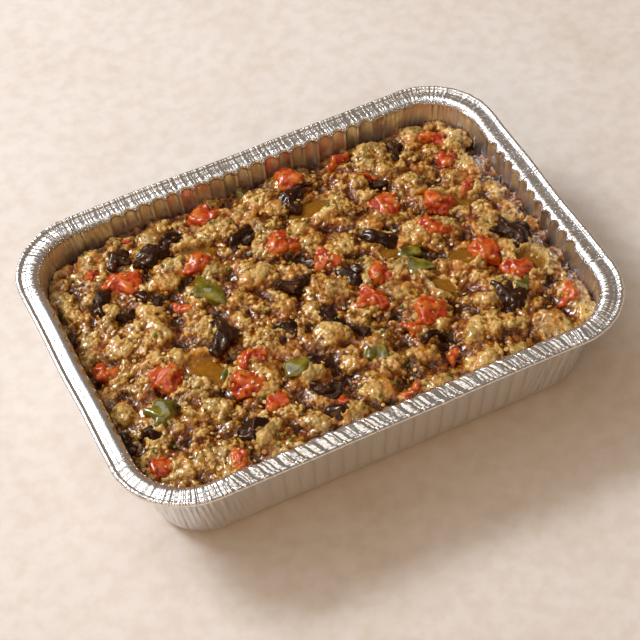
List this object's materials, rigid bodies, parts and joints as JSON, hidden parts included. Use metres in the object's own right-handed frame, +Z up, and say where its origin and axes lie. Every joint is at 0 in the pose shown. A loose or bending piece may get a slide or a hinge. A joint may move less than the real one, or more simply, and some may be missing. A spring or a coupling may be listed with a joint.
{
  "type": "baba ganoush in a foil tray",
  "caption": "Chunky baba ganoush with tomato, green pepper and charred aubergine skin, filling a rectangular fluted aluminium foil tray with a rolled rim.",
  "frame": {"origin": "under the middle of the tray's base, on the surface that it stands on", "axes": "+X along the tray's length, +Y across its width, +Z up"},
  "size_m": [0.22, 0.163, 0.045],
  "materials": {
    "foil": "bright pressed foil, fine pleats and crimps",
    "mash": "wet, grainy roast aubergine mash, dressed with oil",
    "tomato": "wet, soft cooked tomato",
    "pepper": "wet, soft cooked green pepper",
    "skin": "wrinkled, oily charred aubergine skin"
  },
  "bodies": {
    "root": {"tray": "foil", "mash": "mash", "tomato_01": "tomato", "tomato_02": "tomato", "tomato_03": "tomato", "tomato_04": "tomato", "tomato_05": "tomato", "tomato_06": "tomato", "tomato_07": "tomato", "tomato_08": "tomato", "tomato_09": "tomato", "tomato_10": "tomato", "tomato_11": "tomato", "tomato_12": "tomato", "tomato_13": "tomato", "tomato_14": "tomato", "tomato_15": "tomato", "tomato_16": "tomato", "tomato_17": "tomato", "tomato_18": "tomato", "tomato_19": "tomato", "tomato_20": "tomato", "tomato_21": "tomato", "tomato_22": "tomato", "tomato_23": "tomato", "tomato_24": "tomato", "tomato_25": "tomato", "pepper_01": "pepper", "pepper_02": "pepper", "pepper_03": "pepper", "pepper_04": "pepper", "pepper_05": "pepper", "skin_01": "skin", "skin_02": "skin", "skin_03": "skin", "skin_04": "skin", "skin_05": "skin", "skin_06": "skin", "skin_07": "skin", "skin_08": "skin", "skin_09": "skin", "skin_10": "skin", "skin_11": "skin", "skin_12": "skin", "skin_13": "skin", "skin_14": "skin", "skin_15": "skin", "skin_16": "skin", "skin_17": "skin", "skin_18": "skin", "skin_19": "skin", "skin_20": "skin", "skin_21": "skin"}
  },
  "joints": []
}
